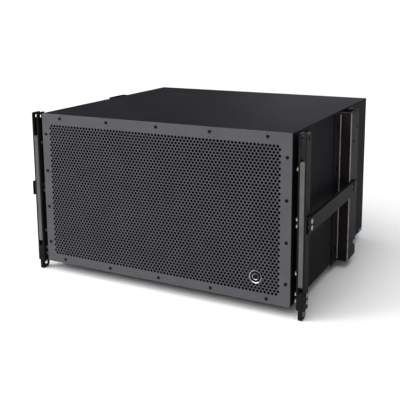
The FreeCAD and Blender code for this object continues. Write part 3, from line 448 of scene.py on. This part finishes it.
def makeGrille():
    sheet = {
        "pitch": 9.6 * mm, "rowStep": 7.5 * mm, "holeRadius": 3.7 * mm, "holeSides": 10,
        "longRow": 70, "longRows": 24, "shiftX": -1.5 * mm, "shiftZ": -2.5 * mm,
        "thick": 2 * mm, "cornerRound": 3 * mm, "rimRound": 0.9 * mm,
    }
    pitch, rowStep, corner = sheet["pitch"], sheet["rowStep"], sheet["cornerRound"]
    longRow, longRows = sheet["longRow"], sheet["longRows"]
    front = cabinet["front"]
    halfHigh = (cabinet["top"] - cabinet["under"]) / 2
    centreZ = (cabinet["top"] + cabinet["under"]) / 2
    # the perforated field's edges
    left = sheet["shiftX"] - longRow * pitch / 2
    right = left + longRow * pitch
    low = centreZ + sheet["shiftZ"] - (longRows + 0.5) * rowStep
    high = low + (2 * longRows + 1) * rowStep

    def addPanel(x, z, across, upward):
        # an upright rectangle in the plane of the sheet's front
        bpy.ops.mesh.primitive_plane_add(size=1, location=(x, front, z), rotation=(math.pi / 2, 0, 0))
        panel = bpy.context.object
        panel.scale = (across, upward, 1)
        applyPlace(panel)
        return panel

    def addCell(x, z):
        # one hole in a tile whose long edges have a middle point, so that shifted rows share points
        tile = addPanel(x, z, pitch, rowStep)
        editMode(tile, mode="FACE", select="ALL")
        bpy.ops.mesh.delete(type="ONLY_FACE")
        chooseIn(tile, "EDGE", lambda a, b: abs(a.z - b.z) < hair)
        bpy.ops.mesh.subdivide(number_cuts=1)
        bpy.ops.mesh.select_all(action="DESELECT")
        # turned by half a side, so that no corner touches the tile's edge
        bpy.ops.mesh.primitive_circle_add(
            vertices=sheet["holeSides"], radius=sheet["holeRadius"], location=(x, front, z),
            rotation=(math.pi / 2, math.pi / sheet["holeSides"], 0))
        bpy.ops.mesh.select_all(action="SELECT")
        bpy.ops.mesh.bridge_edge_loops()
        bpy.ops.object.mode_set(mode="OBJECT")
        return tile

    def repeat(piece, across, upward):
        for count, step in ((across, (pitch, 0, 0)), (upward, (0, 0, 2 * rowStep))):
            addModifier(piece, "ARRAY", count=count, use_relative_offset=False,
                        use_constant_offset=True, constant_offset_displace=step)

    longCells = addCell(left + pitch / 2, low + 1.5 * rowStep)
    repeat(longCells, longRow, longRows)
    shortCells = addCell(left + pitch, low + 0.5 * rowStep)
    repeat(shortCells, longRow - 1, longRows + 1)
    ends = []
    for x in (left + pitch / 4, right - pitch / 4):
        ends.append(addPanel(x, low + rowStep / 2, pitch / 2, rowStep))
        repeat(ends[-1], 1, longRows + 1)
    field = joinPieces([longCells, shortCells, *ends], "perforatedGrille")
    editMode(field, "ALL")
    bpy.ops.mesh.remove_doubles(threshold=2 * hair)
    bpy.ops.object.mode_set(mode="OBJECT")

    # plain rim out to the cabinet's edges
    rim = addPanel(0, centreZ, 2 * cabinet["half"], 2 * halfHigh)
    editMode(rim, "ALL")
    bpy.ops.mesh.bevel(offset=corner, segments=4, affect="VERTICES")
    bpy.ops.mesh.select_all(action="SELECT")
    bpy.ops.mesh.delete(type="ONLY_FACE")
    bpy.ops.object.mode_set(mode="OBJECT")
    field = joinPieces([field, rim], "perforatedGrille")

    def onBorder(a, b):
        # the rim's outline, and the field's four sides
        clear = 7 * mm
        outline = any(v.x > right + clear or v.x < left - clear or v.z > high + clear or v.z < low - clear
                      for v in (a, b))
        sides = ((a.x, b.x, left), (a.x, b.x, right), (a.z, b.z, low), (a.z, b.z, high))
        return outline or any(abs(p - at) < hair and abs(q - at) < hair for p, q, at in sides)

    editMode(field)
    chooseIn(field, "EDGE", onBorder)
    bpy.ops.mesh.fill(use_beauty=True)
    bpy.ops.mesh.select_all(action="SELECT")
    bpy.ops.mesh.normals_make_consistent(inside=False)
    bpy.ops.object.mode_set(mode="OBJECT")
    if sum(face.normal.y * face.area for face in field.data.polygons) > 0:
        editMode(field, "ALL")
        bpy.ops.mesh.flip_normals()
        bpy.ops.object.mode_set(mode="OBJECT")
    addModifier(field, "SOLIDIFY", thickness=sheet["thick"], offset=-1)

    def insideOutline(point):
        # how far inside the sheet's outline, with its rounded corners, a point lies
        dx = abs(point.x) - (cabinet["half"] - corner)
        dz = abs(point.z - centreZ) - (halfHigh - corner)
        return corner - (math.hypot(dx, dz) if dx > 0 and dz > 0 else max(dx, dz))

    editMode(field)
    chooseIn(field, "EDGE", lambda a, b: all(
        abs(v.y - front) < hair and insideOutline(v) < 0.1 * mm for v in (a, b, (a + b) / 2)))
    bpy.ops.mesh.bevel(offset=sheet["rimRound"], segments=2, clamp_overlap=True)
    bpy.ops.object.mode_set(mode="OBJECT")
    finishPiece(field, "cabinet", "grillePowderCoat", "grille_steel", "front_grille")
    # the walls of the holes get the black rigging coat: painted shade inside the holes
    field.data.materials.append(finishes["riggingPowderCoat"])
    for face in field.data.polygons:
        if abs(face.normal.y) < 0.3 and insideOutline(face.center) > 5 * mm:
            face.material_index = 1
    print("grille triangles:", sum(len(face.vertices) - 2 for face in field.data.polygons))


makeGrille()
print("grille made")


def makeFoamSheet():
    # foam bonded behind the grille, its face slightly uneven
    sheet = {"round": 1.5 * mm, "cuts": 40, "uneven": 0.25 * mm, "wavesX": 61, "wavesZ": 47}
    low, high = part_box("grille_foam")
    bpy.ops.mesh.primitive_cube_add(size=1, location=(low + high) / 2)
    foam = bpy.context.object
    foam.name = "acousticFoam"
    foam.scale = high - low
    applyPlace(foam)
    addModifier(foam, "BEVEL", width=sheet["round"], segments=2)
    editMode(foam)
    chooseIn(foam, "FACE", lambda centre, normal: normal.y < -0.9)
    bpy.ops.mesh.subdivide(number_cuts=sheet["cuts"])
    bpy.ops.object.mode_set(mode="OBJECT")
    for vertex in foam.data.vertices:
        if abs(vertex.co.y - low.y) < hair:
            ripple = math.sin(vertex.co.x * sheet["wavesX"]) * math.cos(vertex.co.z * sheet["wavesZ"])
            vertex.co.y += (1 + ripple) / 2 * sheet["uneven"]
    smoothByAngle(foam)
    finishPiece(foam, "cabinet", "reticulatedFoam", "foam", "grille_foam")


def makeWadding():
    # wadding stapled to the inside of the rear panel, its free face in shallow swells
    sheet = {"round": 6 * mm, "voxel": 8 * mm, "deep": 1.6 * mm, "wavesX": 38, "wavesZ": 45.6}
    low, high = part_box("damping_felt")
    wadding = softened("dampingWadding", "damping_felt", sheet["round"], 3)
    addModifier(wadding, "REMESH", mode="VOXEL", voxel_size=sheet["voxel"])
    for vertex in wadding.data.vertices:
        swell = math.sin(vertex.co.x * sheet["wavesX"]) * math.sin(vertex.co.z * sheet["wavesZ"])
        if vertex.co.y < (low.y + high.y) / 2:
            vertex.co.y += (1 + swell) / 2 * sheet["deep"]
    smoothByAngle(wadding, 60)
    finishPiece(wadding, "cabinet", "polyesterWadding", "felt", "damping_felt")


def makeGrilleScrews():
    # low flat heads, screwed through the rim into the panels' edges
    size = {"head": 4.0 * mm, "high": 1.4 * mm, "drive": 1.7 * mm, "shank": 2.0 * mm, "sides": 20}
    fitFasteners("grilleScrews", "grille_screws", size, "blackOxideSteel", "black_screws", (0, -1, 0))


def makeBadge():
    # a plain round badge: a raised bright ring, and a smaller one inside it, on a dished black disc
    ring = {"rim": 1.5 * mm, "dish": 1.1 * mm, "gap": 6.5 * mm, "wall": 0.05 * mm, "inner": 1.0 * mm,
            "innerHigh": 0.88 * mm, "edge": 0.25 * mm}
    low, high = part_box("front_badge")
    outer, thick = (high.x - low.x) / 2, high.y - low.y
    middle = (low + high) / 2
    bpy.ops.mesh.primitive_cylinder_add(vertices=64, radius=outer, depth=thick)
    badge = bpy.context.object
    editMode(badge)
    chooseIn(badge, "FACE", lambda centre, normal: normal.z > 0.9)
    for inset, step in ((ring["rim"], -ring["dish"]), (ring["gap"], 0), (ring["wall"], ring["innerHigh"]),
                        (ring["inner"], -ring["innerHigh"])):
        bpy.ops.mesh.inset(thickness=inset)
        bpy.ops.transform.translate(value=(0, 0, step))
    bpy.ops.object.mode_set(mode="OBJECT")
    addModifier(badge, "BEVEL", width=ring["edge"], segments=3, limit_method="ANGLE",
                angle_limit=math.radians(40))
    smoothByAngle(badge, 30)
    badge.matrix_world = placeAlong(middle, (0, -1, 0))
    badge.name = "plainBadge"
    finishPiece(badge, "cabinet", "satinBadge", "badge_silver", "front_badge")
    badge.data.materials.append(finishes["riggingPowderCoat"])
    for face in badge.data.polygons:
        corners = [badge.data.vertices[i].co - middle for i in face.vertices]
        reach = max(math.hypot(corner.x, corner.z) for corner in corners)
        sunk = face.center.y - low.y > ring["dish"] * 0.7
        if sunk and face.normal.y < -0.5 and reach < outer - ring["rim"] + 0.1 * mm:
            face.material_index = 1


makeFoamSheet()
makeWadding()
makeGrilleScrews()
makeBadge()
print("front trim made")


def makeRigging():
    # laser-cut and folded steel with its edges eased by tumbling and the thickness of the coat
    ease = {"front_bracket": 0.9, "front_outer_plate": 0.9, "side_strut": 0.7, "rear_channel": 1.2,
            "rear_flange_front": 0.8, "rear_flange_rear": 0.8}
    foldRound = 3.5 * mm
    # upright corners turned to the front, which get a pale painted highlight
    highlightedNodes = ("front_bracket", "front_outer_plate", "rear_channel")
    low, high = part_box("rear_channel_right")

    def channelFold(a, b):
        # the two long corners of the channel, away from the cabinet
        upright = abs(a.x - b.x) < hair and abs(a.y - b.y) < hair and abs(a.z - b.z) > 50 * mm
        outside = abs(abs(a.x) - high.x) < 10 * hair
        return upright and outside and min(abs(a.y - low.y), abs(a.y - high.y)) < 10 * hair

    for node, width in ease.items():
        fold = {"round": foldRound, "at": channelFold} if node == "rear_channel" else None
        for side in ("left", "right"):
            full = f"{node}_{side}"
            piece = softened("coated_" + full, full, width * mm, 3, fold)
            finishPiece(piece, "cabinet", "riggingPowderCoat", "black_steel", full)
            if node in highlightedNodes:
                # the corner faces turned to the front take the pale coat: a painted highlight along each
                # fold
                piece.data.materials.append(finishes["paintedHighlightCoat"])
                for face in piece.data.polygons:
                    turn = face.normal
                    if turn.y < -0.4 and abs(turn.x) > 0.4 and abs(turn.z) < 0.2:
                        face.material_index = 1


def makeWelds():
    # a long fillet weld where each wall of the rear channel meets its flange
    bead = {"radius": 2.3 * mm, "sides": 14, "inset": 6 * mm, "endRound": 1.2 * mm}
    low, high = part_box("rear_channel_right")
    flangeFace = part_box("rear_flange_front_right")[1].x
    beads = []
    for side in (-1, 1):
        for y in (low.y, high.y):
            bpy.ops.mesh.primitive_cylinder_add(
                vertices=bead["sides"], radius=bead["radius"], depth=high.z - low.z - 2 * bead["inset"],
                location=(side * flangeFace, y, (low.z + high.z) / 2))
            beads.append(bpy.context.object)
            addModifier(beads[-1], "BEVEL", width=bead["endRound"], segments=2, limit_method="ANGLE",
                        angle_limit=math.radians(50))
    welds = joinPieces(beads, "channelWelds")
    smoothByAngle(welds, 50)
    # the beads take the pale coat: a painted highlight along the root of each wall
    finishPiece(welds, "cabinet", "paintedHighlightCoat", "black_steel")


def makeBars():
    # the spacer bar's front edges are rounded right over, and the sliding bar's only eased
    ease = {"spacer": 2.6 * mm, "slide": 0.8 * mm}
    for side in ("left", "right"):
        bar = softened("nosed_spacer_bar_" + side, "front_spacer_bar_" + side, ease["spacer"], 5)
        finishPiece(bar, "cabinet", "barPowderCoat", "grey_steel", "front_spacer_bar_" + side)
        slide = softened("eased_rear_bar_" + side, "rear_link_bar_" + side, ease["slide"])
        finishPiece(slide, "rear_link_" + side, "zincFlakeSteel", "grey_steel", "rear_link_bar_" + side)


def makeLinks():
    # the swinging links and the bushes that ride in them
    ease = {"link": 1.2 * mm, "bush": 0.5 * mm}
    for side in ("left", "right"):
        swinging = "front_link_" + side
        link = softened("eased_link_" + side, swinging, ease["link"], 3)
        finishPiece(link, swinging, "riggingPowderCoat", "black_steel", swinging)
        bush = softened("link_bush_ring_" + side, "link_bush_" + side, ease["bush"])
        finishPiece(bush, swinging, "brightZinc", "zinc_steel", "link_bush_" + side)


def makeCrossBolts():
    # a six-sided nut inside, a plain shank, and a round head outside where there is room for one
    nut = {"head": 6.5 * mm, "high": 6.0 * mm, "shank": 4.0 * mm, "sides": 6}
    cap = {"head": 5.5 * mm, "high": 2.2 * mm, "drive": 2.4 * mm, "shank": 3.9 * mm, "sides": 24}
    capShank, leastRoom = 6 * mm, 1.5 * mm
    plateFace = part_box("front_outer_plate_right")[1].x
    nuts, caps = {}, []
    for low, high in islandsOf("front_cross_bolts"):
        middle = (low + high) / 2
        out = Vector((math.copysign(1, middle.x), 0, 0))
        inner = middle - out * (high.x - middle.x - nut["high"])
        outer = middle + out * (high.x - middle.x)
        if abs(outer.x) - plateFace > leastRoom:
            outer -= out * cap["high"]
            caps.append(placeAlong(outer, out))
        nuts.setdefault(round((outer - inner).length, 6), []).append(placeAlong(inner, -out))
    parts = copyEachLength("nut", nut, nuts) + copyEachLength("cap", cap, {capShank: caps})
    bolts = joinPieces(parts, "crossBolts")
    smoothByAngle(bolts, 40)
    finishPiece(bolts, "cabinet", "brightZinc", "zinc_steel", "front_cross_bolts")
    # the ends that finish flush with the outer plate were powder coated with it
    bolts.data.materials.append(finishes["riggingPowderCoat"])
    for face in bolts.data.polygons:
        if abs(abs(face.center.x) - plateFace) < 1.1 * mm:
            face.material_index = 1


def makeRiggingFasteners():
    clamp = {"head": 6.5 * mm, "high": 2.5 * mm, "drive": 2.6 * mm, "shank": 4.0 * mm, "sides": 24}
    fitFasteners("clampBolts", "rear_clamp_bolts", clamp, "brightZinc", "zinc_steel")
    bushes = softened("topPinBushes", "top_pin_bushes", 0.5 * mm)
    finishPiece(bushes, "cabinet", "blackOxideSteel", "black_screws", "top_pin_bushes")
    screw = {"head": 5.5 * mm, "high": 2.4 * mm, "drive": 2.3 * mm, "shank": 3.0 * mm, "sides": 20}
    fitFasteners("riggingScrews", "rigging_screws", screw, "blackOxideSteel", "black_screws")


makeRigging()
makeWelds()
makeBars()
makeLinks()
makeCrossBolts()
makeRiggingFasteners()
print("rigging made")


def makeConnector(node):
    # a round locking socket: the CAD's shell, and in it a core with four ribs between its contacts
    size = {"socketDeep": 16 * mm, "core": 5.2 * mm, "coreHigh": 12 * mm, "coreRound": 0.6 * mm,
            "sunk": 0.2 * mm, "rib": (1.4 * mm, 2.4 * mm, 11 * mm), "ribRound": 0.25 * mm}
    low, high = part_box(node)
    shell = softened(node + "_shell", node, 0.5 * mm)
    finishPiece(shell, "cabinet", "glassFilledNylon", "plastic", node)
    middleZ = size["coreHigh"] / 2 - size["socketDeep"] - size["sunk"]
    bpy.ops.mesh.primitive_cylinder_add(vertices=40, radius=size["core"], depth=size["coreHigh"],
                                        location=(0, 0, middleZ))
    core = bpy.context.object
    applyPlace(core)
    addModifier(core, "BEVEL", width=size["coreRound"], segments=2, limit_method="ANGLE",
                angle_limit=math.radians(40))
    parts = [core]
    for quarter in range(4):
        angle = math.radians(45 + 90 * quarter)
        bpy.ops.mesh.primitive_cube_add(size=1)
        rib = bpy.context.object
        rib.scale = size["rib"]
        rib.location = (math.cos(angle) * size["core"], math.sin(angle) * size["core"], middleZ)
        rib.rotation_euler = (0, 0, angle + math.pi / 2)
        applyPlace(rib)
        addModifier(rib, "BEVEL", width=size["ribRound"], segments=1)
        parts.append(rib)
    whole = joinPieces(parts, node + "_core")
    mouth = Vector(((low.x + high.x) / 2, high.y, (low.z + high.z) / 2))
    whole.matrix_world = placeAlong(mouth, (0, 1, 0))
    smoothByAngle(whole, 40)
    finishPiece(whole, "cabinet", "glassFilledNylon", "plastic")


def makeRear():
    ease = 0.8 * mm
    dish = softened("pressedDish", "connector_dish", ease, 3)
    finishPiece(dish, "cabinet", "dishPowderCoat", "black_steel", "connector_dish")
    pads = softened("heelPads", "heel_pads", ease, 3)
    finishPiece(pads, "cabinet", "blueUrethane", "blue_pad", "heel_pads")
    screw = {"head": 3.8 * mm, "high": 1.6 * mm, "drive": 1.6 * mm, "shank": 2.0 * mm, "sides": 20}
    fitFasteners("dishScrews", "dish_screws", screw, "blackOxideSteel", "black_screws", (0, 1, 0))
    for name in ("input_connector", "link_connector"):
        makeConnector(name)


makeRear()
print("rear made")


def makeStage():
    view = {
        "place": (0.8936, -1.5004, 0.3023), "azimuth": 27.36, "down": 10.36, "roll": -0.43,
        "lens": 63.42, "shift": -0.17,
    }
    light = {
        "world": 0.3, "backdrop": 1.0, "sun": 3.2, "sunAcross": 80, "sunTilt": (28, -14, 0),
        "lamps": {
            "keyLeft": {"place": (-3.2, -2.9, 1.9), "aim": (-0.2, 0, -0.1), "size": 1.8, "power": 85},
            "sheenRear": {"place": (-0.6, 3.5, 0.7), "aim": (0.2, 0.3, 0), "size": 1.2, "power": 9},
            "edgeRight": {"place": (3.3, -1.7, 0.6), "aim": (0.36, 0.3, -0.2), "size": 0.25, "power": 7},
        },
    }
    scene = bpy.context.scene

    def addHolder(name, data):
        holder = bpy.data.objects.new(name, data)
        scene.collection.objects.link(holder)
        return holder

    camera = bpy.data.cameras.new("viewCamera")
    camera.lens = view["lens"]
    camera.sensor_width = 36
    camera.shift_y = view["shift"]
    camera.clip_start = 0.01
    scene.camera = addHolder("viewCamera", camera)
    scene.camera.matrix_world = (Matrix.Translation(view["place"])
                                 @ Matrix.Rotation(math.radians(view["azimuth"]), 4, "Z")
                                 @ Matrix.Rotation(math.radians(90 - view["down"]), 4, "X")
                                 @ Matrix.Rotation(math.radians(view["roll"]), 4, "Z"))

    # the floor lies half a millimetre under the lowest point
    bpy.ops.mesh.primitive_plane_add(size=60, location=(0, 0, cadBox[0][2] - 0.5 * mm))
    floor = bpy.context.object
    floor.name = "paleFloor"
    floor.data.materials.append(finishes["palePaper"])

    scene.world = bpy.data.worlds.new("softRoom")
    scene.world.use_nodes = True
    sky = scene.world.node_tree.nodes["Background"]
    sky.inputs["Color"].default_value = (1, 1, 1, 1)
    sky.inputs["Strength"].default_value = light["world"]

    # a plain white backdrop that only the camera sees
    bpy.ops.mesh.primitive_uv_sphere_add(segments=48, ring_count=24, radius=28, location=(0, 0, 0))
    backdrop = bpy.context.object
    backdrop.name = "whiteBackdrop"
    lit = bpy.data.materials.new("litBackdrop")
    lit.use_nodes = True
    glow = lit.node_tree.nodes["Principled BSDF"]
    glow.inputs["Emission Color"].default_value = (1, 1, 1, 1)
    glow.inputs["Emission Strength"].default_value = light["backdrop"]
    backdrop.data.materials.append(lit)
    backdrop.visible_diffuse = backdrop.visible_glossy = backdrop.visible_transmission = False
    backdrop.visible_shadow = False

    sun = bpy.data.lights.new("skyPanel", "SUN")
    sun.energy = light["sun"]
    sun.angle = math.radians(light["sunAcross"])
    addHolder("skyPanel", sun).rotation_euler = [math.radians(turn) for turn in light["sunTilt"]]

    for name, lamp in light["lamps"].items():
        panel = bpy.data.lights.new(name, "AREA")
        panel.shape = "SQUARE"
        panel.size = lamp["size"]
        panel.energy = lamp["power"]
        holder = addHolder(name, panel)
        holder.location = lamp["place"]
        holder.rotation_mode = "QUATERNION"
        toAim = Vector(lamp["aim"]) - Vector(lamp["place"])
        holder.rotation_quaternion = toAim.to_track_quat("-Z", "Y")
    scene.view_settings.view_transform = "Standard"


makeStage()
print("stage made")

# any CAD node without a finish of its own gets the rigging's
for node in nodes.values():
    if not node.data.materials or node.data.materials[0] not in finishes.values():
        node.data.materials.clear()
        node.data.materials.append(finishes["riggingPowderCoat"])
